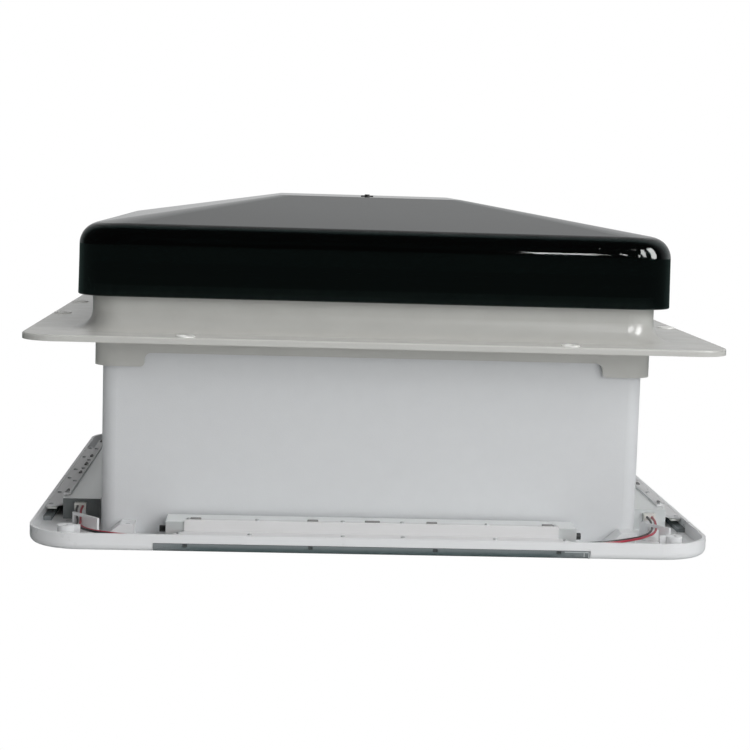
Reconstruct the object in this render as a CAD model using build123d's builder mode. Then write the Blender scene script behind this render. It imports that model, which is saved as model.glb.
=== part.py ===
from build123d import *
import os
from math import atan2, copysign, degrees, pi, radians, tan

# A caravan roof vent: a smoked dome that tilts on rear hinges over a white roof frame,
# a square duct through the roof, and a ceiling frame with lights, a flyscreen and a blind.
# X runs to the right, Y to the hinged rear and Z up. Zero height is the face of the ceiling
# frame that looks into the cabin. The width of the hole in the roof drives the whole plan.

# Roof hole and the moulded frame that fills it
cutout_width = 400.0
skirt_clearance = 0.5
skirt_wall = 3.6
skirt_drop = 11.0
skirt_corner_radius = 16.0
lug_drop = 21.0
lug_length = 36.0
lug_notch_radius = 5.0
lug_tip_radius = 3.0
flange_height = 145.0
flange_thickness = 4.5
flange_reach = 46.5
flange_corner_radius = 25.0
flange_edge_radius = 1.2
flange_hole_radius = 2.2
flange_sink_radius = 4.6
flange_hole_inset = 8.0
front_hole_spacing = 266.0
side_hole_spacing = 120.0
upstand_step = 2.5
upstand_wall = 3.5
upstand_height = 38.5
upstand_corner_radius = 22.0
upstand_root_radius = 14.0
face_gap = 0.3
overrun = 5.0

# Seal on the upstand
seal_grip_depth = 6.0
seal_lip = 1.8
seal_head_height = 6.7
seal_head_radius = 3.0
seal_fit = 0.2

# Dome shell, its inner pane and the plug in its middle
dome_width = 424.0
dome_rim_drop = 14.0
dome_side_rise = 49.0
dome_hip_rise = 23.0
dome_flat_width = 141.0
dome_wall = 3.0
dome_draft = 1.0
dome_corner_radius = 27.0
dome_flat_corner_radius = 9.0
dome_shoulder_radius = 15.0
dome_rim_radius = 1.2
pane_thickness = 2.5
pane_lip_height = 9.0
pane_lip_wall = 2.5
plug_radius = 5.0
plug_height = 0.6
plug_pip_radius = 2.0
plug_pip_height = 0.9
plug_stem_radius = 2.5

# Rear hinges
hinge_spacing = 170.0
hinge_width = 36.0
hinge_line_offset = 8.0
hinge_rise = 15.5
knuckle_radius = 5.0
knuckle_length = 12.0
hinge_pin_radius = 2.0
hinge_pin_overhang = 1.0
pin_clearance = 0.05
hinge_plate = 2.5
hinge_foot_inner = 3.0
hinge_foot_length = 20.0
hinge_web = 5.0
leaf_rise = 2.0
leaf_length = 22.0
leaf_screw_rise = 9.0
hinge_screw_spread = 22.0
hinge_screw_inset = 6.0

# Lifting bow, its pivots and its rails
bow_link = 192.5
bow_bar_width = 8.0
bow_bar_height = 10.0
bow_edge_radius = 1.2
grip_length = 120.0
grip_wall = 3.0
grip_drop = 8.0
grip_edge_radius = 2.5
foot_radius = 4.0
foot_length = 8.3
foot_stub_radius = 2.5
foot_stub_length = 6.0
pivot_radius = 2.5
pivot_head_radius = 4.0
pivot_head_length = 1.5
bracket_ear = 5.7
bracket_plate = 2.2
bracket_plate_width = 16.0
bracket_plate_length = 30.0
bracket_ear_radius = 6.0
bracket_screw_spread = 22.0
bracket_screw_inset = 3.5
rail_web = 1.2
rail_flange = 3.1
rail_groove_clearance = 0.4
rail_front_length = 9.0
rail_length = 131.0
rail_end_wall = 4.0
rail_tab_length = 14.0
rail_tab_height = 8.5
rail_tab_wall = 2.2
rail_tab_inset = 14.0
rail_screw_lift = 4.0
rail_screw_bite = 2.0

# Duct
duct_clearance = 1.9
duct_wall = 2.5
duct_overlap = 14.0
duct_edge_radius = 0.8
duct_screw_spread = 350.0
duct_screw_bite = 2.0

# Ceiling frame
ceiling_margin = 48.0
ceiling_floor = 3.0
ceiling_wall = 2.5
ceiling_depth = 12.0
ceiling_corner_radius = 38.0
ceiling_edge_radius = 4.5
ceiling_opening = 316.0
ceiling_opening_radius = 14.0
post_x = 214.0
post_y = 229.0
post_radius = 6.0
post_height = 15.5
post_hole_radius = 2.1
post_sink_radius = 4.5
post_sink_depth = 1.5
post_rib = 3.0
post_rib_reach = 10.0
post_slot_width = 3.0
post_slot_depth = 2.5
post_slot_height = 6.0
lug_block_inner = 168.0
lug_block_length = 22.0
lug_block_depth = 18.0
lug_block_height = 13.0
lug_block_ramp = 12.0

# Light module on each side: lens, channel, cover, board
lens_length = 305.0
lens_height = 5.9
lens_depth = 8.0
window_gap = 0.3
lens_clip_width = 3.4
lens_clip_height = 2.5
lens_clip_depth = 1.2
lens_clip_count = 4
lens_clip_spacing = 87.0
channel_length = 290.0
channel_width = 27.5
channel_gap = 4.5
channel_sheet = 1.5
channel_top_height = 18.4
cover_length = 280.0
cover_end_slant = 8.0
cover_skin = 1.5
cover_lap = 4.0
cover_ledge_height = 12.0
cover_edge_radius = 0.6
slot_width = 2.4
slot_length = 8.0
slot_middle_length = 11.0
slot_inner_place = 42.0
slot_outer_place = 124.0
cover_screw_inner_place = 21.0
strip_screw_outer_place = 81.0
strip_screw_end_place = 129.0
ledge_screw_outer_place = 86.0
ledge_screw_end_place = 135.5
cover_screw_inset = 3.2
board_length = 274.0
board_width = 7.0
board_thickness = 1.5
diode_length = 3.5
diode_width = 2.8
diode_height = 1.0
diode_count = 16
diode_pitch = 16.0

# Plugs, sleeves, guides and leads in the corners
plug_length = 9.0
plug_width = 8.5
plug_depth = 5.0
plug_place = 14.5
plug_end_overhang = 5.0
plug_pin_spacing = 3.8
plug_pin_depth = 3.0
plug_seat_height = 10.8
sleeve_seat_height = 8.2
sleeve_radius = 2.4
sleeve_length = 10.0
sleeve_overhang = 5.0
guide_left_ends = ((-215.0, -174.0), (-195.0, -197.0))
guide_left_slot_share = 0.23
guide_right_ends = ((219.0, -193.0), (202.0, -170.0))
guide_right_slot_share = 0.52
guide_thickness = 2.0
guide_height = 14.0
guide_slot_width = 10.5
guide_slot_height = 9.0
lead_radius = 0.85
lead_end_gap = 0.2
lead_end_spread = 1.5
run_share = 0.45

# Blind frame, flyscreen and blackout blind
blind_opening = 320.0
blind_plate = 2.4
blind_slot_height = 8.0
blind_middle_plate = 2.2
blind_groove = 11.0
blind_pocket_wall = 4.2
blind_corner_radius = 7.0
frame_screw_x = 181.0
frame_screw_y = 150.0
bar_depth = 12.0
bar_clearance = 0.3
bar_edge_radius = 1.5
bar_set_out = 0.3
pull_width = 60.0
pull_reach = 4.5
pull_thickness = 3.0
pleat_count = 10
pleat_crest = 1.8
pleat_clearance = 0.5
pleat_end_gap = 0.3

# Screws: head radius, head height, shank radius and hole clearance
small_head_radius = 1.6
small_head_height = 0.9
small_shank_radius = 0.8
small_shank_length = 2.4
plate_head_radius = 3.0
plate_head_height = 1.8
plate_shank_radius = 1.5
plate_shank_length = 3.6
thread_clearance = 0.1

# Plan and height values worked out from the sizes above
skirt_width = cutout_width - 2 * skirt_clearance
skirt_inner = skirt_width - 2 * skirt_wall
flange_width = skirt_width + 2 * flange_reach
flange_top = flange_height + flange_thickness
upstand_width = skirt_width + 2 * upstand_step
upstand_inner = upstand_width - 2 * upstand_wall
upstand_top = flange_top + upstand_height
duct_width = skirt_inner - 2 * duct_clearance
duct_inner = duct_width - 2 * duct_wall
duct_corner_radius = skirt_corner_radius - skirt_wall - duct_clearance
duct_top = flange_height - skirt_drop + duct_overlap
ceiling_width = duct_width + 2 * ceiling_margin
pane_height = upstand_top + seal_head_height + face_gap
dome_rim_height = upstand_top - dome_rim_drop
dome_shoulder_height = dome_rim_height + dome_side_rise
dome_top_height = dome_shoulder_height + dome_hip_rise
hinge_line_height = flange_top + hinge_rise
leaf_bottom_height = dome_rim_height + leaf_rise
leaf_screw_height = dome_rim_height + leaf_screw_rise
hinge_line = dome_width / 2 + hinge_line_offset
bow_pivot_place = hinge_line - bow_link
bow_front_place = hinge_line - 2 * bow_link
rail_outer = upstand_inner / 2 - face_gap
foot_room = foot_length + rail_groove_clearance
bow_width = 2 * (rail_outer - rail_web - foot_room - face_gap)
leg_inner = bow_width / 2 - bow_bar_width
front_hole_place = flange_width / 2 - flange_hole_inset
channel_inner = duct_width / 2 + channel_gap
channel_outer = channel_inner + channel_width
wall_inner = ceiling_width / 2 - ceiling_wall
riser_inner = channel_outer + face_gap
riser_outer = riser_inner + cover_skin
ledge_outer = wall_inner - face_gap
cover_top = channel_top_height + face_gap + cover_skin
strip_middle = (channel_outer - cover_lap + riser_outer) / 2
plug_out = channel_inner + plug_place
plug_pin_hole = 2 * (lead_radius + thread_clearance)
plug_mouth = (plug_width + 2 * window_gap, plug_seat_height + plug_depth + window_gap)
sleeve_mouth = (
    2 * sleeve_radius + 2 * window_gap, sleeve_seat_height + 2 * sleeve_radius + 2 * window_gap
)
blind_outer = duct_inner - 2 * face_gap
screen_level = ceiling_floor + blind_plate + blind_slot_height + blind_middle_plate
blind_level = ceiling_floor + blind_plate
blind_height = screen_level + blind_slot_height + blind_plate
groove_width = blind_opening + 2 * blind_groove
pocket_depth = blind_outer / 2 - blind_pocket_wall
bar_place = blind_opening / 2 - bar_depth / 2 - bar_set_out
hinge_foot_screw_place = hinge_line - hinge_foot_inner + hinge_foot_length - hinge_screw_inset
leaf_face = dome_width / 2 + face_gap
leaf_screw_plane = Plane(
    origin=(0, leaf_face + hinge_plate, 0), x_dir=(-1, 0, 0), z_dir=(0, 1, 0)
)
leaf_screw_length = hinge_plate + face_gap + dome_wall + hinge_plate / 2
groove_height = 2 * foot_radius + 2 * rail_groove_clearance
rail_height = groove_height + 2 * rail_flange
rail_top = hinge_line_height + rail_height / 2
rail_inner = bow_width / 2 + 2 * face_gap + rail_web
rail_front = bow_front_place - rail_front_length
rail_screw_length = rail_tab_wall + face_gap + rail_screw_bite
duct_screw_height = flange_height - lug_drop / 2
duct_screw_places = [(side * duct_screw_spread / 2, duct_screw_height) for side in (-1, 1)]
duct_screw_length = duct_wall + duct_clearance + duct_screw_bite
SIDES = {"front": 0, "right": 90, "rear": 180, "left": 270}
HANDS = {"left": -1, "right": 1}

os.makedirs("parts", exist_ok=True)


def save(part, label):
    """Label a finished piece and write it under that name."""
    part.label = label
    export_step(part, f"parts/{label}.step")


def plan(turn, height=0):
    """Level plane of one side: -Y points outwards, X along the side."""
    return Plane.XY.rotated((0, 0, turn)).offset(height)


def across(turn, along=0):
    """Upright plane across one side: X points outwards and Y up."""
    side = plan(turn)
    return Plane(origin=side.from_local_coords((along, 0, 0)), x_dir=-side.y_dir, z_dir=-side.x_dir)


def beside(x_place):
    """Upright plane across the vent: X points to the rear and Y up."""
    return Plane(origin=(x_place, 0, 0), x_dir=(0, 1, 0), z_dir=(1, 0, 0))


def cut_rounds(plane, places, radius, depth):
    """Cut round holes down from a plane in the open part."""
    with BuildSketch(plane) as rounds:
        with Locations(*places):
            Circle(radius)
    extrude(rounds.sketch, amount=-depth, mode=Mode.SUBTRACT)


def add_screws(plane, places, head_radius, head_height, shank_radius, shank_length):
    """Put screws in the open part, heads out of the plane and shanks into it."""
    for radius, length in ((head_radius, head_height), (shank_radius, -shank_length)):
        with BuildSketch(plane) as rounds:
            with Locations(*places):
                Circle(radius)
        extrude(rounds.sketch, amount=length)


def hinge_screw_places(hand, place):
    """Two screws side by side on one hinge, at a place across it."""
    middle = hand * hinge_spacing / 2
    return [(middle - hinge_screw_spread / 2, place), (middle + hinge_screw_spread / 2, place)]


def bracket_screw_places(hand):
    """Two screws in the plate of one bow bracket."""
    across_place = hand * (leg_inner + bracket_screw_inset)
    return [
        (across_place, bow_pivot_place + side * bracket_screw_spread / 2) for side in (-1, 1)
    ]


def rail_wall_plane(hand):
    """Face of a rail's tabs, looking in from the upstand's wall."""
    return Plane(
        origin=(hand * (rail_outer - rail_tab_wall), 0, 0), x_dir=(0, -hand, 0),
        z_dir=(-hand, 0, 0),
    )


def rail_screw_places(hand):
    """Screws in the two tabs of one rail, on its wall plane."""
    return [
        (-hand * (rail_front + place), rail_top + rail_screw_lift)
        for place in (rail_tab_inset, rail_length - rail_tab_inset)
    ]


def duct_screw_plane(turn):
    """Inner face of the duct on one side, looking into the duct."""
    side = plan(turn)
    return Plane(
        origin=side.from_local_coords((0, -duct_inner / 2, 0)), x_dir=-side.x_dir,
        z_dir=side.y_dir,
    )


def level_face(part, height):
    """The level face of a part that lies nearest to a height."""
    return part.faces().filter_by(Axis.Z).sort_by(lambda face: abs(face.center().Z - height))[0]


# Roof frame: one moulding with skirt, corner lugs, flange and upstand
flange_holes = [
    (x * front_hole_spacing / 2, y * front_hole_place) for x in (-1, 1) for y in (-1, 1)
] + [(x * front_hole_place, y * side_hole_spacing / 2) for x in (-1, 1) for y in (-1, 1)]

with BuildPart() as roof_frame:
    with BuildSketch(Plane.XY.offset(flange_height - lug_drop)):
        RectangleRounded(skirt_width, skirt_width, skirt_corner_radius)
    extrude(amount=lug_drop)
    for view in (Plane.XZ, Plane.YZ):
        with BuildSketch(view) as notch:
            with Locations((0, flange_height - skirt_drop)):
                Rectangle(
                    skirt_width - 2 * lug_length, 2 * lug_drop, align=(Align.CENTER, Align.MAX)
                )
            fillet(notch.vertices().group_by(Axis.Y)[-1], radius=lug_notch_radius)
        extrude(amount=skirt_width, both=True, mode=Mode.SUBTRACT)
    lug_side = skirt_width / 2 - lug_length + face_gap
    lug_tips = roof_frame.edges().group_by(Axis.Z)[0].filter_by(
        lambda edge: min(abs(edge.center().X), abs(edge.center().Y)) < lug_side
    )
    fillet(lug_tips, radius=lug_tip_radius)
    with BuildSketch(Plane.XY.offset(flange_height)):
        RectangleRounded(flange_width, flange_width, flange_corner_radius)
    extrude(amount=flange_thickness)
    fillet(level_face(roof_frame, flange_top).edges(), radius=flange_edge_radius)
    with BuildSketch(Plane.XY.offset(flange_top)):
        RectangleRounded(upstand_width, upstand_width, upstand_corner_radius)
    extrude(amount=upstand_height)
    root = level_face(roof_frame, flange_top).inner_wires()[0]
    fillet(root.edges(), radius=upstand_root_radius)
    with BuildSketch(Plane.XY.offset(flange_top)):
        RectangleRounded(upstand_inner, upstand_inner, upstand_corner_radius - upstand_wall)
    extrude(amount=upstand_height, mode=Mode.SUBTRACT)
    with BuildSketch(Plane.XY.offset(flange_height - lug_drop)):
        RectangleRounded(skirt_inner, skirt_inner, skirt_corner_radius - skirt_wall)
    extrude(amount=lug_drop + flange_thickness, mode=Mode.SUBTRACT)
    with Locations(Plane.XY.offset(flange_top)):
        with Locations(*flange_holes):
            CounterSinkHole(flange_hole_radius, flange_sink_radius, depth=flange_thickness)
    for hand in HANDS.values():
        cut_rounds(
            Plane.XY.offset(flange_top), hinge_screw_places(hand, hinge_foot_screw_place),
            plate_shank_radius + thread_clearance, plate_shank_length - hinge_plate / 2,
        )
        cut_rounds(
            rail_wall_plane(hand), rail_screw_places(hand),
            plate_shank_radius + thread_clearance, rail_screw_length + thread_clearance,
        )
    for turn in SIDES.values():
        cut_rounds(
            duct_screw_plane(turn), duct_screw_places, plate_shank_radius + thread_clearance,
            duct_screw_length + thread_clearance,
        )
save(roof_frame.part, "roof_frame")

# Dome seal: a rubber head with two lips that grip the upstand's edge
with BuildPart() as dome_seal:
    with BuildSketch(Plane.XY.offset(upstand_top - seal_grip_depth)):
        RectangleRounded(
            upstand_width + 2 * seal_lip, upstand_width + 2 * seal_lip,
            upstand_corner_radius + seal_lip,
        )
        RectangleRounded(
            upstand_inner - 2 * seal_lip, upstand_inner - 2 * seal_lip,
            upstand_corner_radius - upstand_wall - seal_lip, mode=Mode.SUBTRACT,
        )
    extrude(amount=seal_grip_depth + seal_head_height)
    fillet(level_face(dome_seal, pane_height - face_gap).edges(), radius=seal_head_radius)
    with BuildSketch(Plane.XY.offset(upstand_top - seal_grip_depth)):
        RectangleRounded(
            upstand_width + 2 * seal_fit, upstand_width + 2 * seal_fit,
            upstand_corner_radius + seal_fit,
        )
        RectangleRounded(
            upstand_inner - 2 * seal_fit, upstand_inner - 2 * seal_fit,
            upstand_corner_radius - upstand_wall - seal_fit, mode=Mode.SUBTRACT,
        )
    extrude(amount=seal_grip_depth, mode=Mode.SUBTRACT)
save(dome_seal.part, "dome_seal")


def dome_form(inset):
    """The dome's outer form, or the form inside its wall, drawn in by an inset."""
    rim = dome_width - 2 * inset
    corner = dome_corner_radius - inset
    rise = dome_shoulder_height - dome_rim_height - inset
    lean = rise * tan(radians(dome_draft))
    with BuildPart() as form:
        with BuildSketch(Plane.XY.offset(dome_rim_height)):
            RectangleRounded(rim, rim, corner)
        with BuildSketch(Plane.XY.offset(dome_rim_height + rise)):
            RectangleRounded(rim - 2 * lean, rim - 2 * lean, corner - lean)
        loft(ruled=True)
        with BuildSketch(Plane.XY.offset(dome_rim_height + rise)):
            RectangleRounded(rim - 2 * lean, rim - 2 * lean, corner - lean)
        with BuildSketch(Plane.XY.offset(dome_top_height - inset)):
            RectangleRounded(dome_flat_width, dome_flat_width, dome_flat_corner_radius)
        loft(ruled=True)
        shoulder = form.edges().filter_by(
            lambda edge: abs(edge.center().Z - dome_rim_height - rise) < dome_rim_radius
        )
        fillet(shoulder, radius=dome_shoulder_radius - inset)
    return form.part


# Dome shell: smoked acrylic, hipped, with a small hole for its plug
with BuildPart() as dome_shell:
    add(dome_form(0))
    fillet(level_face(dome_shell, dome_rim_height).edges(), radius=dome_rim_radius)
    add(dome_form(dome_wall), mode=Mode.SUBTRACT)
    cut_rounds(
        Plane.XY.offset(dome_top_height), [(0, 0)], plug_stem_radius + thread_clearance,
        dome_wall,
    )
    for hand in HANDS.values():
        cut_rounds(
            leaf_screw_plane, hinge_screw_places(-hand, leaf_screw_height),
            plate_shank_radius + thread_clearance, dome_wall + 2 * hinge_plate,
        )
save(dome_shell.part, "dome_shell")

# Breather plug in the middle of the dome
with BuildPart() as breather_plug:
    for radius, length in (
        (plug_radius, plug_height),
        (plug_pip_radius, plug_height + plug_pip_height),
        (plug_stem_radius, -dome_wall),
    ):
        with BuildSketch(Plane.XY.offset(dome_top_height)):
            Circle(radius)
        extrude(amount=length)
save(breather_plug.part, "breather_plug")

# Inner pane: a shallow clear tray that closes the dome and presses on the seal
pane_lean = (pane_height - dome_rim_height) * tan(radians(dome_draft))
pane_width = dome_width - 2 * dome_wall - 2 * face_gap - 2 * pane_lean
pane_corner_radius = dome_corner_radius - dome_wall - face_gap - pane_lean
with BuildPart() as dome_pane:
    with BuildSketch(Plane.XY.offset(pane_height)):
        RectangleRounded(pane_width, pane_width, pane_corner_radius)
    extrude(amount=pane_lip_height, taper=dome_draft)
    with BuildSketch(Plane.XY.offset(pane_height + pane_thickness)):
        RectangleRounded(
            pane_width - 2 * pane_lip_wall, pane_width - 2 * pane_lip_wall,
            pane_corner_radius - pane_lip_wall,
        )
    extrude(amount=pane_lip_height, mode=Mode.SUBTRACT)
    for hand in HANDS.values():
        cut_rounds(
            Plane.XY.offset(pane_height + pane_thickness), bracket_screw_places(hand),
            plate_shank_radius + thread_clearance, pane_thickness,
        )
save(dome_pane.part, "dome_pane")

# Rear hinges: a base on the flange, a leaf on the dome's rear wall and a pin
for name, hand in HANDS.items():
    hinge_place = hand * hinge_spacing / 2
    with BuildPart() as hinge_base:
        with BuildSketch(beside(hinge_place)) as base_side:
            with Locations((hinge_line - hinge_foot_inner, flange_top)):
                Rectangle(hinge_foot_length, hinge_plate, align=Align.MIN)
            with Locations((hinge_line, flange_top)):
                Rectangle(
                    hinge_web, hinge_line_height - flange_top, align=(Align.CENTER, Align.MIN)
                )
            with Locations((hinge_line, hinge_line_height)):
                Circle(knuckle_radius)
                Circle(hinge_pin_radius + pin_clearance, mode=Mode.SUBTRACT)
        extrude(amount=hinge_width / 2, both=True)
        with BuildSketch(Plane.XY.offset(flange_top + hinge_plate)):
            with Locations((hinge_place, hinge_line)):
                Rectangle(knuckle_length + 2 * face_gap, 2 * knuckle_radius + 2 * face_gap)
        extrude(amount=hinge_rise + overrun, mode=Mode.SUBTRACT)
        cut_rounds(
            Plane.XY.offset(flange_top + hinge_plate),
            hinge_screw_places(hand, hinge_foot_screw_place),
            plate_shank_radius + thread_clearance, hinge_plate,
        )
    save(hinge_base.part, f"hinge_base_{name}")

    with BuildPart() as hinge_leaf:
        with BuildSketch(beside(hinge_place)):
            with BuildLine():
                Polyline(
                    (hinge_line - knuckle_radius, hinge_line_height),
                    (hinge_line + knuckle_radius, hinge_line_height),
                    (leaf_face + hinge_plate, leaf_bottom_height + hinge_plate),
                    (leaf_face, leaf_bottom_height + hinge_plate),
                    (leaf_face, leaf_bottom_height),
                    close=True,
                )
            make_face()
            with Locations((hinge_line, hinge_line_height)):
                Circle(knuckle_radius)
                Circle(hinge_pin_radius + pin_clearance, mode=Mode.SUBTRACT)
        extrude(amount=knuckle_length / 2, both=True)
        with BuildSketch(beside(hinge_place)):
            with Locations((leaf_face, leaf_bottom_height)):
                Rectangle(hinge_plate, leaf_length, align=Align.MIN)
        extrude(amount=hinge_width / 2, both=True)
        cut_rounds(
            leaf_screw_plane, hinge_screw_places(-hand, leaf_screw_height),
            plate_shank_radius + thread_clearance, hinge_plate,
        )
    save(hinge_leaf.part, f"hinge_leaf_{name}")

    with BuildPart() as hinge_pin:
        with BuildSketch(beside(hinge_place)):
            with Locations((hinge_line, hinge_line_height)):
                Circle(hinge_pin_radius)
        extrude(amount=hinge_width / 2 + hinge_pin_overhang, both=True)
    save(hinge_pin.part, f"hinge_pin_{name}")

with BuildPart() as hinge_base_screws:
    for hand in HANDS.values():
        add_screws(
            Plane.XY.offset(flange_top + hinge_plate),
            hinge_screw_places(hand, hinge_foot_screw_place), plate_head_radius,
            plate_head_height, plate_shank_radius, plate_shank_length,
        )
save(hinge_base_screws.part, "hinge_base_screws")

with BuildPart() as leaf_screws:
    for hand in HANDS.values():
        add_screws(
            leaf_screw_plane, hinge_screw_places(-hand, leaf_screw_height), plate_head_radius,
            plate_head_height, plate_shank_radius, leaf_screw_length,
        )
save(leaf_screws.part, "leaf_screws")

# Bow brackets under the pane, with an ear and a pivot pin for each leg of the bow
ear_outer = leg_inner - face_gap
for name, hand in HANDS.items():
    ear_middle = hand * (ear_outer - bracket_ear / 2)
    plate_middle = hand * (leg_inner - bracket_ear + bracket_plate_width / 2 - face_gap)
    with BuildPart() as bow_bracket:
        with BuildSketch(Plane.XY.offset(pane_height)):
            with Locations((plate_middle, bow_pivot_place)):
                Rectangle(bracket_plate_width, bracket_plate_length)
        extrude(amount=-bracket_plate)
        with BuildSketch(beside(ear_middle)):
            with Locations((bow_pivot_place, pane_height)):
                Rectangle(
                    2 * bracket_ear_radius, pane_height - hinge_line_height,
                    align=(Align.CENTER, Align.MAX),
                )
            with Locations((bow_pivot_place, hinge_line_height)):
                Circle(bracket_ear_radius)
                Circle(pivot_radius + pin_clearance, mode=Mode.SUBTRACT)
        extrude(amount=bracket_ear / 2, both=True)
        cut_rounds(
            Plane.XY.offset(pane_height), bracket_screw_places(hand),
            plate_shank_radius + thread_clearance, bracket_plate,
        )
    save(bow_bracket.part, f"bow_bracket_{name}")

with BuildPart() as bracket_screws:
    for hand in HANDS.values():
        add_screws(
            Plane.XY.offset(pane_height - bracket_plate).rotated((180, 0, 0)),
            [(x, -y) for x, y in bracket_screw_places(hand)], plate_head_radius,
            plate_head_height, plate_shank_radius, bracket_plate + pane_thickness / 2,
        )
save(bracket_screws.part, "bracket_screws")

with BuildPart() as pivot_pins:
    for hand in HANDS.values():
        leg_outer_plane = Plane(
            origin=(hand * (bow_width / 2 + face_gap), bow_pivot_place, hinge_line_height),
            x_dir=(0, 1, 0), z_dir=(hand, 0, 0),
        )
        add_screws(
            leg_outer_plane, [(0, 0)], pivot_head_radius, pivot_head_length, pivot_radius,
            bow_bar_width + bracket_ear + 2 * face_gap,
        )
save(pivot_pins.part, "pivot_pins")

# Lifting bow: two legs and a front bar in one moulding
with BuildPart() as lifting_bow:
    with BuildSketch(Plane.XY.offset(hinge_line_height - bow_bar_height / 2)):
        with Locations((0, bow_front_place - bow_bar_width / 2)):
            Rectangle(
                bow_width, bow_link + bow_bar_width / 2 + bow_bar_height / 2,
                align=(Align.CENTER, Align.MIN),
            )
        with Locations((0, bow_front_place + bow_bar_width / 2)):
            Rectangle(
                bow_width - 2 * bow_bar_width, bow_link + bow_bar_height,
                align=(Align.CENTER, Align.MIN), mode=Mode.SUBTRACT,
            )
    extrude(amount=bow_bar_height)
    front_corners = lifting_bow.edges().filter_by(Axis.Z).group_by(Axis.Y)[0]
    fillet(front_corners, radius=bow_edge_radius)
    leg_ends = lifting_bow.edges().filter_by(Axis.X).group_by(Axis.Y)[-1]
    fillet(leg_ends, radius=bow_bar_height / 2 - pin_clearance)
    for hand in HANDS.values():
        leg_plane = Plane(
            origin=(hand * bow_width / 2, 0, hinge_line_height), x_dir=(0, 1, 0),
            z_dir=(hand, 0, 0),
        )
        cut_rounds(
            leg_plane, [(bow_pivot_place, 0)], pivot_radius + pin_clearance, bow_bar_width
        )
        cut_rounds(
            leg_plane, [(bow_front_place, 0)], foot_stub_radius + thread_clearance,
            foot_stub_length + thread_clearance,
        )
save(lifting_bow.part, "lifting_bow")

with BuildPart() as bow_feet:
    for hand in HANDS.values():
        foot_plane = Plane(
            origin=(hand * (bow_width / 2 + face_gap), bow_front_place, hinge_line_height),
            x_dir=(0, 1, 0), z_dir=(hand, 0, 0),
        )
        add_screws(
            foot_plane, [(0, 0)], foot_radius, foot_length, foot_stub_radius,
            foot_stub_length + face_gap,
        )
save(bow_feet.part, "bow_feet")

with BuildPart() as bow_grip:
    with BuildSketch(beside(0)) as grip_section:
        with Locations((bow_front_place, hinge_line_height + bow_bar_height / 2 + grip_wall)):
            Rectangle(
                bow_bar_width + 2 * grip_wall, bow_bar_height + 2 * grip_wall + grip_drop,
                align=(Align.CENTER, Align.MAX),
            )
        fillet(grip_section.vertices(), radius=grip_edge_radius)
        with Locations((bow_front_place, hinge_line_height)):
            Rectangle(
                bow_bar_width + 2 * thread_clearance, bow_bar_height + 2 * thread_clearance,
                mode=Mode.SUBTRACT,
            )
    extrude(amount=grip_length / 2, both=True)
save(bow_grip.part, "bow_grip")

for name, hand in HANDS.items():
    rail_plane = Plane(
        origin=(hand * rail_outer, rail_front, hinge_line_height), x_dir=(0, hand, 0),
        z_dir=(hand, 0, 0),
    )
    rail_align = (Align.MIN if hand > 0 else Align.MAX, Align.CENTER)
    with BuildPart() as bow_rail:
        with BuildSketch(rail_plane):
            Rectangle(rail_length, rail_height, align=rail_align)
        extrude(amount=rail_inner - rail_outer)
        with BuildSketch(rail_plane.offset(-rail_web)):
            with Locations((hand * rail_end_wall, 0)):
                Rectangle(rail_length - 2 * rail_end_wall, groove_height, align=rail_align)
        extrude(amount=rail_inner - rail_outer, mode=Mode.SUBTRACT)
        with BuildSketch(rail_plane):
            for place in (rail_tab_inset, rail_length - rail_tab_inset):
                with Locations((hand * place, rail_height / 2)):
                    Rectangle(
                        rail_tab_length, rail_tab_height, align=(Align.CENTER, Align.MIN)
                    )
        extrude(amount=-rail_tab_wall)
        cut_rounds(
            rail_wall_plane(hand), rail_screw_places(hand),
            plate_shank_radius + thread_clearance, rail_tab_wall,
        )
    save(bow_rail.part, f"bow_rail_{name}")

with BuildPart() as rail_screws:
    for hand in HANDS.values():
        add_screws(
            rail_wall_plane(hand), rail_screw_places(hand), plate_head_radius,
            plate_head_height, plate_shank_radius, rail_screw_length,
        )
save(rail_screws.part, "rail_screws")

# Duct: the square white trunk through the roof
with BuildPart() as duct:
    with BuildSketch(Plane.XY.offset(ceiling_floor)):
        RectangleRounded(duct_width, duct_width, duct_corner_radius)
        RectangleRounded(
            duct_inner, duct_inner, duct_corner_radius - duct_wall, mode=Mode.SUBTRACT
        )
    extrude(amount=duct_top - ceiling_floor)
    fillet(level_face(duct, duct_top).edges(), radius=duct_edge_radius)
    for turn in SIDES.values():
        cut_rounds(
            duct_screw_plane(turn), duct_screw_places, plate_shank_radius + thread_clearance,
            duct_wall,
        )
save(duct.part, "duct")

with BuildPart() as duct_screws:
    for turn in SIDES.values():
        add_screws(
            duct_screw_plane(turn), duct_screw_places, plate_head_radius, plate_head_height,
            plate_shank_radius, duct_screw_length,
        )
save(duct_screws.part, "duct_screws")

# Ceiling frame: a shallow open tray with a window for each light, screw posts in its
# corners, lugs at the duct's foot and seats for the lead plugs
plug_ends = [("left", 1), ("left", -1), ("right", 1), ("right", -1)]
sleeve_ends = [("front", 1), ("front", -1), ("rear", 1), ("rear", -1)]
post_places = [(x * post_x, y * post_y) for x in (-1, 1) for y in (-1, 1)]
frame_screw_places = [
    (x * frame_screw_x, y * frame_screw_y) for x in (-1, 1) for y in (-1, 1)
]

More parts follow.
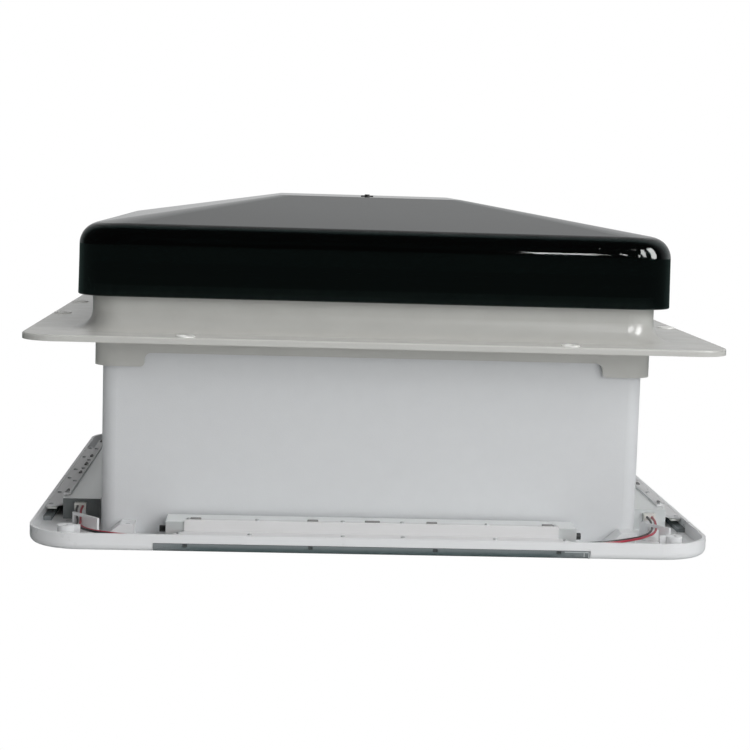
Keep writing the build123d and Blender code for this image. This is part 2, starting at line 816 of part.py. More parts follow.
with BuildPart() as ceiling_frame:
    with BuildSketch():
        RectangleRounded(ceiling_width, ceiling_width, ceiling_corner_radius)
    extrude(amount=ceiling_depth)
    fillet(level_face(ceiling_frame, 0).edges(), radius=ceiling_edge_radius)
    with BuildSketch(Plane.XY.offset(ceiling_floor)):
        RectangleRounded(
            2 * wall_inner, 2 * wall_inner, ceiling_corner_radius - ceiling_wall
        )
    extrude(amount=ceiling_depth, mode=Mode.SUBTRACT)
    with BuildSketch():
        RectangleRounded(ceiling_opening, ceiling_opening, ceiling_opening_radius)
    extrude(amount=ceiling_floor, mode=Mode.SUBTRACT)
    for turn in SIDES.values():
        with BuildSketch(plan(turn)):
            with Locations((0, lens_depth + window_gap - ceiling_width / 2)):
                Rectangle(
                    lens_length + 2 * window_gap, lens_depth + overrun,
                    align=(Align.CENTER, Align.MAX),
                )
        extrude(amount=lens_height + window_gap, mode=Mode.SUBTRACT)
    with BuildSketch(Plane.XY.offset(ceiling_floor)):
        with Locations(*post_places):
            Circle(post_radius)
        for x, y in post_places:
            with Locations((x, y)):
                Rectangle(
                    post_rib_reach, post_rib,
                    align=(Align.MAX if x > 0 else Align.MIN, Align.CENTER),
                )
    extrude(amount=post_height - ceiling_floor)
    for ends, seat_width, seat_height in (
        (plug_ends, plug_width - 2 * window_gap, plug_seat_height),
        (sleeve_ends, 2 * sleeve_radius, sleeve_seat_height),
    ):
        for side, end in ends:
            with BuildSketch(plan(SIDES[side], ceiling_floor)):
                with Locations((end * channel_length / 2, -plug_out)):
                    Rectangle(
                        plug_length, seat_width,
                        align=(Align.MAX if end > 0 else Align.MIN, Align.CENTER),
                    )
            extrude(amount=seat_height - ceiling_floor)
    for x, y in post_places:
        with BuildSketch(Plane.XY.offset(ceiling_floor)):
            with Locations((x + copysign(post_radius, -x), y)):
                Rectangle(post_slot_depth, post_slot_width)
        extrude(amount=post_slot_height, mode=Mode.SUBTRACT)
    for turn in (SIDES["front"], SIDES["rear"]):
        side = plan(turn)
        duct_foot = Plane(
            origin=side.from_local_coords((0, -duct_width / 2 - face_gap, 0)),
            x_dir=side.x_dir, z_dir=-side.y_dir,
        )
        for start in (-lug_block_inner - lug_block_length, lug_block_inner):
            with BuildSketch(duct_foot):
                with BuildLine():
                    Polyline(
                        (start, ceiling_floor),
                        (start + lug_block_ramp, lug_block_height),
                        (start + lug_block_length, lug_block_height),
                        (start + lug_block_length, ceiling_floor),
                        close=True,
                    )
                make_face()
            extrude(amount=lug_block_depth)
    with Locations(Plane.XY.rotated((180, 0, 0))):
        with Locations(*post_places):
            CounterBoreHole(
                post_hole_radius, post_sink_radius, post_sink_depth, depth=post_height
            )
    cut_rounds(
        Plane.XY.offset(ceiling_floor), frame_screw_places,
        plate_shank_radius + thread_clearance, ceiling_floor / 2,
    )
save(ceiling_frame.part, "ceiling_frame")

# Light module on each side: translucent lens in the frame's edge, metal channel,
# moulded cover over the channel's outer edge and a board with diodes under its ledge
lens_clip_places = [
    (step - (lens_clip_count - 1) / 2) * lens_clip_spacing for step in range(lens_clip_count)
]
board_middle = ledge_outer - face_gap - board_width / 2
board_top = cover_ledge_height - cover_skin - face_gap
upper_screws = [
    (side * place, -strip_middle)
    for side in (-1, 1)
    for place in (cover_screw_inner_place, strip_screw_outer_place, strip_screw_end_place)
]
ledge_screws = [
    (side * place, cover_screw_inset - ledge_outer)
    for side in (-1, 1)
    for place in (cover_screw_inner_place, ledge_screw_outer_place, ledge_screw_end_place)
]
slots = [(0, slot_middle_length)] + [
    (side * place, slot_length)
    for side in (-1, 1) for place in (slot_inner_place, slot_outer_place)
]


def cut_slots(turn, height, depth):
    """Cut the row of slots along the cover's strip in the open part."""
    with BuildSketch(plan(turn, height)) as row:
        for place, length in slots:
            with Locations((place, -strip_middle)):
                Rectangle(length, slot_width)
    extrude(row.sketch, amount=-depth, mode=Mode.SUBTRACT)


for name, turn in SIDES.items():
    with BuildPart() as light_lens:
        with BuildSketch(across(turn)) as lens_section:
            with Locations((ceiling_width / 2, 0)):
                Rectangle(lens_depth, lens_height, align=(Align.MAX, Align.MIN))
            fillet(
                lens_section.vertices().sort_by(Axis.X)[-2:].sort_by(Axis.Y)[0],
                radius=ceiling_edge_radius,
            )
        extrude(amount=lens_length / 2, both=True)
        with BuildSketch(plan(turn, lens_height)):
            for place in lens_clip_places:
                with Locations((place, -ceiling_width / 2)):
                    Rectangle(lens_clip_width, 2 * lens_clip_depth)
        extrude(amount=-lens_clip_height, mode=Mode.SUBTRACT)
    save(light_lens.part, f"light_lens_{name}")

    mouth_width, mouth_top = sleeve_mouth if turn in (SIDES["front"], SIDES["rear"]) else plug_mouth
    with BuildPart() as light_channel:
        with BuildSketch(across(turn)):
            with Locations((channel_inner, ceiling_floor)):
                Rectangle(
                    channel_width, channel_top_height - ceiling_floor, align=Align.MIN
                )
        extrude(amount=channel_length / 2, both=True)
        with BuildSketch(across(turn)):
            with Locations((channel_inner + channel_sheet, ceiling_floor)):
                Rectangle(
                    channel_width - 2 * channel_sheet,
                    channel_top_height - channel_sheet - ceiling_floor, align=Align.MIN,
                )
        extrude(amount=channel_length / 2 - channel_sheet, both=True, mode=Mode.SUBTRACT)
        with BuildSketch(across(turn)):
            with Locations((plug_out, ceiling_floor)):
                Rectangle(
                    mouth_width, mouth_top - ceiling_floor, align=(Align.CENTER, Align.MIN)
                )
        extrude(amount=channel_length, both=True, mode=Mode.SUBTRACT)
        cut_slots(turn, channel_top_height, channel_sheet)
        cut_rounds(
            plan(turn, channel_top_height), upper_screws,
            small_shank_radius + thread_clearance, small_shank_length,
        )
    save(light_channel.part, f"light_channel_{name}")

    with BuildPart() as light_cover:
        with BuildSketch(across(turn)) as cover_section:
            with BuildLine():
                Polyline(
                    (channel_outer - cover_lap, channel_top_height + face_gap),
                    (channel_outer - cover_lap, cover_top),
                    (riser_outer, cover_top),
                    (riser_outer, cover_ledge_height),
                    (ledge_outer, cover_ledge_height),
                    (ledge_outer, cover_ledge_height - cover_skin),
                    (riser_inner, cover_ledge_height - cover_skin),
                    (riser_inner, channel_top_height + face_gap),
                    close=True,
                )
            make_face()
            fillet(cover_section.vertices().group_by(Axis.Y)[-1], radius=cover_edge_radius)
        extrude(amount=cover_length / 2, both=True)
        for end in (-1, 1):
            with BuildSketch(plan(turn, cover_top)):
                with BuildLine():
                    Polyline(
                        (end * (cover_length / 2 + overrun), -ledge_outer),
                        (end * cover_length / 2, -ledge_outer),
                        (end * (cover_length / 2 - cover_end_slant), -riser_outer),
                        (end * (cover_length / 2 - cover_end_slant), -channel_inner),
                        (end * (cover_length / 2 + overrun), -channel_inner),
                        close=True,
                    )
                make_face()
            extrude(amount=-cover_top, mode=Mode.SUBTRACT)
        cut_slots(turn, cover_top, cover_skin)
        cut_rounds(
            plan(turn, cover_top), upper_screws, small_shank_radius + thread_clearance,
            cover_skin,
        )
        cut_rounds(
            plan(turn, cover_ledge_height), ledge_screws,
            small_shank_radius + thread_clearance, cover_skin,
        )
    save(light_cover.part, f"light_cover_{name}")

    with BuildPart() as light_board:
        with BuildSketch(plan(turn, board_top)):
            with Locations((0, -board_middle)):
                Rectangle(board_length, board_width)
        extrude(amount=-board_thickness)
        cut_rounds(
            plan(turn, board_top), ledge_screws, small_shank_radius + thread_clearance,
            board_thickness,
        )
    save(light_board.part, f"light_board_{name}")

with BuildPart() as light_diodes:
    for turn in SIDES.values():
        with BuildSketch(plan(turn, board_top - board_thickness)):
            with Locations((0, -board_middle)):
                with GridLocations(diode_pitch, diode_width, diode_count, 1):
                    Rectangle(diode_length, diode_width)
        extrude(amount=-diode_height)
save(light_diodes.part, "light_diodes")

with BuildPart() as lens_clips:
    for turn in SIDES.values():
        with BuildSketch(plan(turn, lens_height)):
            for place in lens_clip_places:
                with Locations((place, lens_clip_depth / 2 - ceiling_width / 2)):
                    Rectangle(
                        lens_clip_width - 2 * thread_clearance,
                        lens_clip_depth - 2 * thread_clearance,
                    )
        extrude(amount=thread_clearance - lens_clip_height)
save(lens_clips.part, "lens_clips")

with BuildPart() as cover_screws:
    for turn in SIDES.values():
        for height, places in ((cover_top, upper_screws), (cover_ledge_height, ledge_screws)):
            add_screws(
                plan(turn, height), places, small_head_radius, small_head_height,
                small_shank_radius, small_shank_length,
            )
save(cover_screws.part, "cover_screws")

# Lead plugs in the side channels' ends and black sleeves in the front and rear ones
plug_middle = plug_seat_height + plug_depth / 2
plug_end = channel_length / 2 + plug_end_overhang
with BuildPart() as lead_plugs:
    for side, end in plug_ends:
        with BuildSketch(plan(SIDES[side], plug_seat_height)):
            with Locations((end * (plug_end - plug_length / 2), -plug_out)):
                Rectangle(plug_length, plug_width)
        extrude(amount=plug_depth)
        with BuildSketch(across(SIDES[side], end * plug_end)):
            with Locations((plug_out, plug_middle)):
                with GridLocations(plug_pin_spacing, plug_pin_spacing, 2, 1):
                    Rectangle(plug_pin_hole, plug_pin_hole)
        extrude(amount=plug_pin_depth, both=True, mode=Mode.SUBTRACT)
save(lead_plugs.part, "lead_plugs")

with BuildPart() as lead_sleeves:
    for side, end in sleeve_ends:
        middle = end * (channel_length / 2 + sleeve_overhang - sleeve_length / 2)
        with BuildSketch(across(SIDES[side], middle)):
            with Locations((plug_out, sleeve_seat_height + sleeve_radius + thread_clearance)):
                Circle(sleeve_radius)
        extrude(amount=sleeve_length / 2, both=True)
save(lead_sleeves.part, "lead_sleeves")

# Lead guides: upright plates across the front and rear corners, each with a slot
with BuildPart() as lead_guides:
    for turn in (SIDES["front"], SIDES["rear"]):
        for (start, end), slot_share in (
            (guide_left_ends, guide_left_slot_share), (guide_right_ends, guide_right_slot_share)
        ):
            line = Edge.make_line(start, end)
            angle = degrees(atan2(end[1] - start[1], end[0] - start[0]))
            for share, length, width, height, mode in (
                (0.5, line.length, guide_thickness, guide_height, Mode.ADD),
                (
                    slot_share, guide_slot_width, guide_thickness + overrun,
                    guide_slot_height + ceiling_floor, Mode.SUBTRACT,
                ),
            ):
                with BuildSketch(plan(turn, ceiling_floor)):
                    with Locations(line @ share):
                        Rectangle(length, width, rotation=angle)
                extrude(amount=height - ceiling_floor, mode=mode)
save(lead_guides.part, "lead_guides")

# Leads: a red and a black one in three corners, from a plug to the end of a board
lead_end = board_length / 2 + lead_end_gap
lead_height = board_top - board_thickness / 2
lead_routes = {
    "red_front_left": [
        (-211.1, -148.0, 13.3), (-211.1, -162.0, 12.9), (-209.2, -181.0, 8.6),
        (-207.6, -198.0, 8.4), (-199.0, -214.6, 9.0), (-185.0, -226.6, 9.6),
        (-168.0, -233.4, 9.6), (-lead_end, lead_end_spread - board_middle, lead_height),
    ],
    "black_front_left": [
        (-214.9, -148.0, 13.3), (-214.5, -162.0, 12.8), (-211.4, -179.0, 8.6),
        (-210.2, -199.0, 8.6), (-201.0, -216.8, 9.2), (-186.4, -229.4, 9.6),
        (-167.0, -236.2, 9.6), (-lead_end, -lead_end_spread - board_middle, lead_height),
    ],
    "red_front_right": [
        (214.9, -148.0, 13.3), (214.6, -162.0, 12.9), (211.6, -181.4, 10.2),
        (206.0, -197.0, 10.0), (194.6, -212.6, 10.0), (179.0, -226.2, 10.2),
        (163.0, -234.4, 10.0), (lead_end, -lead_end_spread - board_middle, lead_height),
    ],
    "black_front_right": [
        (211.1, -148.0, 13.3), (211.3, -162.0, 12.9), (209.0, -179.6, 10.4),
        (203.6, -195.4, 10.4), (193.8, -211.2, 10.4), (178.0, -223.8, 10.6),
        (162.0, -231.6, 10.2), (lead_end, lead_end_spread - board_middle, lead_height),
    ],
}
for colour in ("red", "black"):
    lead_routes[f"{colour}_rear_left"] = [
        (-x, -y, z) for x, y, z in lead_routes[f"{colour}_front_right"]
    ]


def route_radii(points):
    """The largest arc that fits at each corner of a lead's route."""
    radii = []
    for before, here, after in zip(points, points[1:], points[2:]):
        first = Vector(*here) - Vector(*before)
        second = Vector(*after) - Vector(*here)
        half_turn = radians(first.get_angle(second)) / 2
        radii.append(run_share * min(first.length, second.length) / tan(half_turn))
    return radii


for name, points in lead_routes.items():
    radii = route_radii(points)
    print("lead", name, "radii", [round(radius, 1) for radius in radii])
    with BuildPart() as lead:
        with BuildLine():
            route = FilletPolyline(*points, radius=radii)
        with BuildSketch(Plane(origin=route @ 0, z_dir=route % 0)):
            Circle(lead_radius)
        sweep()
    print("lead", name, "length", round(route.length, 1), "volume", round(lead.part.volume, 1),
          "section times length", round(pi * lead_radius**2 * route.length, 1))
    save(lead.part, f"lead_{name}")

# Blind frame: a ring with two pairs of grooves and pockets, the screen over the blind
with BuildPart() as blind_frame:
    with BuildSketch(Plane.XY.offset(ceiling_floor)):
        RectangleRounded(blind_outer, blind_outer, blind_corner_radius)
        Rectangle(blind_opening, blind_opening, mode=Mode.SUBTRACT)
    extrude(amount=blind_height - ceiling_floor)
    for level in (blind_level, screen_level):
        with BuildSketch(Plane.XY.offset(level)):
            Rectangle(groove_width, 2 * pocket_depth)
        extrude(amount=blind_slot_height, mode=Mode.SUBTRACT)
    cut_rounds(
        Plane.XY.offset(blind_height), frame_screw_places,
        plate_shank_radius + thread_clearance, blind_height,
    )
save(blind_frame.part, "blind_frame")

with BuildPart() as blind_frame_screws:
    add_screws(
        Plane.XY.offset(blind_height), frame_screw_places, plate_head_radius,
        plate_head_height, plate_shank_radius,
        blind_height - ceiling_floor / 2 - thread_clearance,
    )
save(blind_frame_screws.part, "blind_frame_screws")

# Pleated screen and blind, gathered in their pockets, each with its pull bar
for name, bar_name, level, end in (
    ("flyscreen", "flyscreen_bar", screen_level, 1),
    ("blackout_blind", "blackout_bar", blind_level, -1),
):
    pleat_start = bar_place + bar_depth / 2 + pleat_end_gap
    pleat_step = (pocket_depth - pleat_end_gap - pleat_start) / (2 * pleat_count)
    valley = level + pleat_clearance
    crest = level + blind_slot_height - pleat_clearance - pleat_crest
    folds = [
        (end * (pleat_start + fold * pleat_step), valley if fold % 2 else crest)
        for fold in range(2 * pleat_count + 1)
    ]
    with BuildPart() as pleats:
        with BuildSketch(beside(0)):
            with BuildLine():
                Polyline(
                    *folds, *[(y, z + pleat_crest) for y, z in reversed(folds)], close=True
                )
            make_face()
        extrude(amount=groove_width / 2 - bar_clearance - pleat_clearance, both=True)
    save(pleats.part, name)

    with BuildPart() as pull_bar:
        with BuildSketch(Plane.XY.offset(level + bar_clearance)):
            with Locations((0, end * bar_place)):
                Rectangle(groove_width - 2 * bar_clearance, bar_depth)
        extrude(amount=blind_slot_height - 2 * bar_clearance)
        fillet(pull_bar.edges().filter_by(Axis.X), radius=bar_edge_radius)
        if end > 0:
            with BuildSketch(beside(0)):
                with Locations(
                    (bar_place - bar_depth / 2 + bar_edge_radius, level + blind_slot_height / 2)
                ):
                    Rectangle(
                        pull_reach + bar_edge_radius, pull_thickness,
                        align=(Align.MAX, Align.CENTER),
                    )
        else:
            with BuildSketch(beside(0)):
                with Locations((-bar_place, level + bar_clearance + bar_edge_radius)):
                    Rectangle(
                        pull_thickness, pull_reach + bar_edge_radius,
                        align=(Align.CENTER, Align.MAX),
                    )
        extrude(amount=pull_width / 2, both=True)
    save(pull_bar.part, bar_name)
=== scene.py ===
import bmesh
import bpy
from math import cos, pi, radians, sin
from mathutils import Matrix, Vector


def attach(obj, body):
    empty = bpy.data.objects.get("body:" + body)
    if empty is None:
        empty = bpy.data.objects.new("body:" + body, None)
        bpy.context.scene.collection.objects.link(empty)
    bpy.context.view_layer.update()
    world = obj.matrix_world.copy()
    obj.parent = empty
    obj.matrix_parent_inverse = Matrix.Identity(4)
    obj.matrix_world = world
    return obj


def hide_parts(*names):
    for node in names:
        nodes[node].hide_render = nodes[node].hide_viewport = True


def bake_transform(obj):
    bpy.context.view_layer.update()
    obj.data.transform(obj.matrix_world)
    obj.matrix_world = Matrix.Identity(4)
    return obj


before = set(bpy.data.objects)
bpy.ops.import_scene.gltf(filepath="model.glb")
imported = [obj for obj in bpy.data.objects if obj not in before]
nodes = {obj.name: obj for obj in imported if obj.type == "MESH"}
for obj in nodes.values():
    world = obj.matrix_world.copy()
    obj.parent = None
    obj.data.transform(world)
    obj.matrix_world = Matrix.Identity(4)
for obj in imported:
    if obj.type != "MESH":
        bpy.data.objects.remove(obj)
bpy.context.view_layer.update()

# Camera: a long lens a metre and a half in front of the vent, a little to its left and
# just above its dome, held slightly out of level as in the photograph.
eye = Vector((-0.0672, -1.4667, 0.2643))
turn_right, look_down, lean = radians(3.04), radians(6.40), radians(1.69)
ahead = Vector(
    (sin(turn_right) * cos(look_down), cos(turn_right) * cos(look_down), -sin(look_down))
)
level_right = Vector((cos(turn_right), -sin(turn_right), 0.0))
level_up = level_right.cross(ahead)
view_right = level_right * cos(lean) + level_up * sin(lean)
view_up = level_up * cos(lean) - level_right * sin(lean)
lens = bpy.data.cameras.new("camera")
lens.lens = 86.02
lens.sensor_width = 36.0
lens.clip_end = 200.0
camera = bpy.data.objects.new("camera", lens)
camera.matrix_world = Matrix.Translation(eye) @ Matrix(
    (view_right, view_up, -ahead)
).transposed().to_4x4()
bpy.context.scene.collection.objects.link(camera)
bpy.context.scene.camera = camera
bpy.context.scene.view_settings.view_transform = "Standard"


# Studio: a round pale floor under a soft sky that is brightest behind and to the right, with
# soft lamps in front, at the sides and above, and window panes that only polished faces
# mirror. None of it is the vent.
def add_node(tree, kind, *feeds, operation=None, second=None, **values):
    """Add a shader node, feed its first inputs and set others by their names."""
    added = tree.nodes.new("ShaderNode" + kind)
    if operation:
        added.operation = operation
    for index, feed in enumerate(feeds):
        tree.links.new(feed, added.inputs[index])
    if second is not None:
        added.inputs[1].default_value = second
    for name, value in values.items():
        added.inputs[name.replace("_", " ")].default_value = value
    return added


FLOOR_RADIUS, FLOOR_SIDES, FLOOR_DROP = 30.0, 96, 0.0003
floor_mesh = bmesh.new()
bmesh.ops.create_circle(floor_mesh, cap_ends=True, radius=FLOOR_RADIUS, segments=FLOOR_SIDES)
bmesh.ops.translate(floor_mesh, vec=(0.0, 0.0, -FLOOR_DROP), verts=floor_mesh.verts)
floor_data = bpy.data.meshes.new("floor")
floor_mesh.to_mesh(floor_data)
floor_mesh.free()
floor = bpy.data.objects.new("floor", floor_data)
bpy.context.scene.collection.objects.link(floor)
floor_paint = bpy.data.materials.new("floor_paint")
floor_paint.use_nodes = True
floor_tree = floor_paint.node_tree
floor_shader = floor_tree.nodes["Principled BSDF"]
floor_shader.inputs["Base Color"].default_value = (0.76, 0.76, 0.76, 1.0)
floor_shader.inputs["Roughness"].default_value = 0.9
floor_shader.inputs["Specular IOR Level"].default_value = 0.1
floor_seen = add_node(floor_tree, "LightPath")
floor_dark = add_node(floor_tree, "Emission", Color=(0.06, 0.085, 0.08, 1.0))
floor_white = add_node(floor_tree, "Emission")
floor_mirrored = add_node(
    floor_tree, "MixShader",
    floor_seen.outputs["Is Glossy Ray"], floor_shader.outputs[0], floor_dark.outputs[0],
)
floor_either = add_node(
    floor_tree, "MixShader",
    floor_seen.outputs["Is Camera Ray"], floor_mirrored.outputs[0], floor_white.outputs[0],
)
floor_tree.links.new(
    floor_either.outputs[0], floor_tree.nodes["Material Output"].inputs["Surface"]
)
floor.data.materials.append(floor_paint)

sky = bpy.data.worlds.new("studio_sky")
sky.use_nodes = True
bpy.context.scene.world = sky
sky_tree = sky.node_tree
sky_light = sky_tree.nodes["Background"]
sky_light.inputs["Color"].default_value = (0.985, 0.995, 1.0, 1.0)
sky_way = add_node(sky_tree, "TexCoord")
sky_side = add_node(
    sky_tree, "VectorMath", sky_way.outputs["Generated"],
    operation="DOT_PRODUCT", second=(0.30, 0.80, -0.05),
)
sky_level = add_node(
    sky_tree, "MapRange", sky_side.outputs["Value"],
    From_Min=0.15, From_Max=0.80, To_Min=0.03, To_Max=0.53,
)
sky_tree.links.new(sky_level.outputs["Result"], sky_light.inputs["Strength"])
backdrop = add_node(sky_tree, "Background", Color=(1.0, 1.0, 1.0, 1.0))
sky_seen = add_node(sky_tree, "LightPath")
sky_either = add_node(
    sky_tree, "MixShader",
    sky_seen.outputs["Is Camera Ray"], sky_light.outputs[0], backdrop.outputs[0],
)
sky_tree.links.new(sky_either.outputs[0], sky_tree.nodes["World Output"].inputs["Surface"])

LAMP_TARGET = Vector((0.0, 0.0, 0.12))
for lamp_name, lamp_place, lamp_size, lamp_power, mirrored in (
    ("front_lamp", (1.3, -2.9, 0.95), (2.4, 1.8), 40.0, False),
    ("left_lamp", (-2.4, -1.2, 1.3), (1.2, 1.2), 6.0, False),
    ("side_lamp", (2.2, -1.6, 1.5), (1.1, 1.1), 20.0, False),
    ("top_lamp", (0.2, -0.5, 2.3), (1.8, 1.8), 25.0, False),
    ("window_pane", (2.2, -1.5, 1.6), (0.9, 2.2), 80.0, True),
    ("second_window_pane", (1.2, -2.4, 1.5), (0.5, 1.8), 34.0, True),
    ("far_window_pane", (0.6, -3.2, 1.0), (0.16, 0.25), 1.8, True),
):
    lamp = bpy.data.lights.new(lamp_name, "AREA")
    lamp.shape = "RECTANGLE"
    lamp.size, lamp.size_y = lamp_size
    lamp.energy = lamp_power
    lamp_object = bpy.data.objects.new(lamp_name, lamp)
    aim = (LAMP_TARGET - Vector(lamp_place)).to_track_quat("-Z", "Y")
    lamp_object.matrix_world = Matrix.Translation(lamp_place) @ aim.to_matrix().to_4x4()
    lamp_object.visible_glossy = mirrored
    lamp_object.visible_transmission = mirrored
    lamp_object.visible_diffuse = not mirrored
    bpy.context.scene.collection.objects.link(lamp_object)


# Roof frame: one thick vacuum-formed sheet of glossy white ABS with its skirt, flange and
# upstand. The sheet has the faint waves of a formed wall and dust on its upward faces.
CLOUD_SHARE = 0.06
GRAIN_RISE, WAVE_RISE = 0.001, 0.004
DUST_SCALE, DUST_FROM = 38.0, 0.55


def mix_colours(tree, share, under, over):
    """Lay a colour over another, which is a colour or comes from a node, by a share."""
    mixed = tree.nodes.new("ShaderNodeMix")
    mixed.data_type = "RGBA"
    tree.links.new(share, mixed.inputs["Factor"])
    if isinstance(under, tuple):
        mixed.inputs["A"].default_value = (*under, 1.0)
    else:
        tree.links.new(under, mixed.inputs["A"])
    mixed.inputs["B"].default_value = (*over, 1.0)
    return mixed


def add_bump(tree, height, strength, rise, above):
    """Raise a surface by a height, beneath what the node above adds to it."""
    bump = add_node(tree, "Bump", Strength=strength, Distance=rise)
    tree.links.new(height, bump.inputs["Height"])
    tree.links.new(bump.outputs["Normal"], above.inputs["Normal"])
    return bump


def finish(name, dark, light, rough, grain, bump, stretch=(1.0, 1.0, 1.0), **more):
    """A finish whose colour and gloss wander a little, with a fine raised grain."""
    material = bpy.data.materials.new(name)
    material.use_nodes = True
    tree = material.node_tree
    shader = tree.nodes["Principled BSDF"]
    for input_name, value in more.items():
        shader.inputs[input_name.replace("_", " ")].default_value = value
    place = add_node(tree, "TexCoord")
    spread = add_node(tree, "Mapping", place.outputs["Object"], Scale=stretch)
    cloud, fine = (
        add_node(tree, "TexNoise", spread.outputs["Vector"], Scale=scale, Detail=detail)
        for scale, detail in ((grain * CLOUD_SHARE, 5.0), (grain, 3.0))
    )
    tint = mix_colours(tree, cloud.outputs["Fac"], dark, light)
    tint.name = "tint"
    gloss = add_node(tree, "MapRange", cloud.outputs["Fac"], To_Min=rough[0], To_Max=rough[1])
    tree.links.new(tint.outputs["Result"], shader.inputs["Base Color"])
    tree.links.new(gloss.outputs["Result"], shader.inputs["Roughness"])
    raised = add_bump(tree, fine.outputs["Fac"], bump, GRAIN_RISE, shader)
    raised.name = "raised"
    return material


def add_waves(material, size, strength):
    """Long shallow waves under the grain, as a formed or pressed sheet has."""
    tree = material.node_tree
    place = add_node(tree, "TexCoord")
    swell = add_node(tree, "TexNoise", place.outputs["Object"], Scale=1.0 / size, Detail=1.0)
    add_bump(tree, swell.outputs["Fac"], strength, WAVE_RISE, tree.nodes["raised"])


def facing(tree, axis, low, high, most):
    """The share of a face that looks along an axis: none at low, the most at high."""
    surface = add_node(tree, "NewGeometry")
    axes = add_node(tree, "SeparateXYZ", surface.outputs["Normal"])
    share = add_node(
        tree, "MapRange", axes.outputs[axis], From_Min=low, From_Max=high, To_Max=most
    )
    return share.outputs["Result"]


def add_dust(material, colour, amount):
    """A film of dust that lies in patches on the faces that look up."""
    tree = material.node_tree
    place = add_node(tree, "TexCoord")
    patch = add_node(tree, "TexNoise", place.outputs["Object"], Scale=DUST_SCALE, Detail=8.0)
    upward = facing(tree, "Z", DUST_FROM, 1.0, amount)
    cover = add_node(tree, "Math", upward, patch.outputs["Fac"], operation="MULTIPLY")
    film = mix_colours(
        tree, cover.outputs["Value"], tree.nodes["tint"].outputs["Result"], colour
    )
    shader = tree.nodes["Principled BSDF"]
    tree.links.new(film.outputs["Result"], shader.inputs["Base Color"])


def dress(material, *names):
    """Give CAD pieces a finish in place of their plain one."""
    for name in names:
        for place in nodes[name].material_slots:
            place.material = material


roof_abs = finish(
    "roof_abs", (0.55, 0.55, 0.525), (0.60, 0.60, 0.575), (0.16, 0.26), 900.0, 0.05
)
add_waves(roof_abs, 0.09, 0.10)
add_dust(roof_abs, (0.52, 0.50, 0.46), 0.35)
dress(roof_abs, "roof_frame")

# Dome seal: a black rubber extrusion pushed over the upstand's edge, dull and faintly
# chalky, with its long grain round the opening.
seal_rubber = finish(
    "seal_rubber", (0.012, 0.012, 0.012), (0.03, 0.03, 0.03), (0.55, 0.75), 1400.0, 0.12
)
dress(seal_rubber, "dome_seal")

# Dome shell: smoked acrylic, blown into its hipped form and highly polished. Light from
# the white frame behind its rim shows through it faintly, and it carries fine hairlines.
ACRYLIC_IOR = 1.49
smoked = finish(
    "smoked_acrylic", (0.022, 0.036, 0.035), (0.030, 0.047, 0.045), (0.015, 0.05), 160.0,
    0.006, IOR=ACRYLIC_IOR, Specular_IOR_Level=0.22, Transmission_Weight=1.0,
)
add_waves(smoked, 0.13, 0.05)
dress(smoked, "dome_shell")

# Inner pane: a clear acrylic tray bonded inside the dome, so the dome is double skinned.
pane_clear = finish(
    "pane_clear", (0.86, 0.90, 0.90), (0.90, 0.94, 0.94), (0.02, 0.06), 220.0, 0.01,
    IOR=ACRYLIC_IOR, Transmission_Weight=1.0,
)
add_waves(pane_clear, 0.11, 0.04)
dress(pane_clear, "dome_pane")

# Breather plug: a small black rubber button pushed into the middle of the dome.
plug_rubber = finish(
    "plug_rubber", (0.015, 0.015, 0.015), (0.04, 0.04, 0.04), (0.45, 0.6), 2500.0, 0.1
)
dress(plug_rubber, "breather_plug")

# Rear hinges: moulded black nylon bases and leaves, filled with glass fibre, so the skin
# is finely mottled. Their pins, like the bow's pivot pins, are drawn stainless steel.
hinge_nylon = finish(
    "hinge_nylon", (0.02, 0.02, 0.021), (0.045, 0.045, 0.047), (0.38, 0.55), 1800.0, 0.16
)
dress(
    hinge_nylon, "hinge_base_left", "hinge_base_right", "hinge_leaf_left", "hinge_leaf_right"
)
pin_steel = finish(
    "pin_steel", (0.50, 0.50, 0.51), (0.66, 0.66, 0.67), (0.18, 0.32), 2600.0, 0.08,
    stretch=(0.08, 1.0, 1.0), Metallic=1.0, Anisotropic=0.4,
)
dress(pin_steel, "hinge_pin_left", "hinge_pin_right", "pivot_pins")

# Lifting bow with its brackets: grey glass-filled nylon, with the long flow lines of the
# moulding. Its feet run in light grey nylon rails on the upstand's inner wall.
bow_nylon = finish(
    "bow_nylon", (0.30, 0.31, 0.32), (0.38, 0.39, 0.40), (0.32, 0.48), 1500.0, 0.12
)
dress(bow_nylon, "lifting_bow", "bow_bracket_left", "bow_bracket_right")
rail_nylon = finish(
    "rail_nylon", (0.52, 0.52, 0.51), (0.60, 0.60, 0.59), (0.35, 0.5), 1500.0, 0.08
)
dress(rail_nylon, "bow_rail_left", "bow_rail_right")
foot_nylon = finish(
    "foot_nylon", (0.62, 0.61, 0.56), (0.70, 0.69, 0.64), (0.3, 0.42), 1800.0, 0.06
)
dress(foot_nylon, "bow_feet")


# Grip: a soft dark sleeve over the middle of the bow, hollowed under its lower edge for
# four fingers and moulded in one piece.
def add_block(mesh, matrix, rounding, steps):
    """Add a block with rounded edges, a unit cube set by a matrix; give its corners."""
    corners = set(bmesh.ops.create_cube(mesh, size=1.0, matrix=matrix)["verts"])
    edges = [edge for edge in mesh.edges if edge.verts[0] in corners]
    rounded = bmesh.ops.bevel(
        mesh, geom=edges, offset=rounding, segments=steps, profile=0.5, affect="EDGES",
        material=-1,
    )
    return set(rounded["verts"])


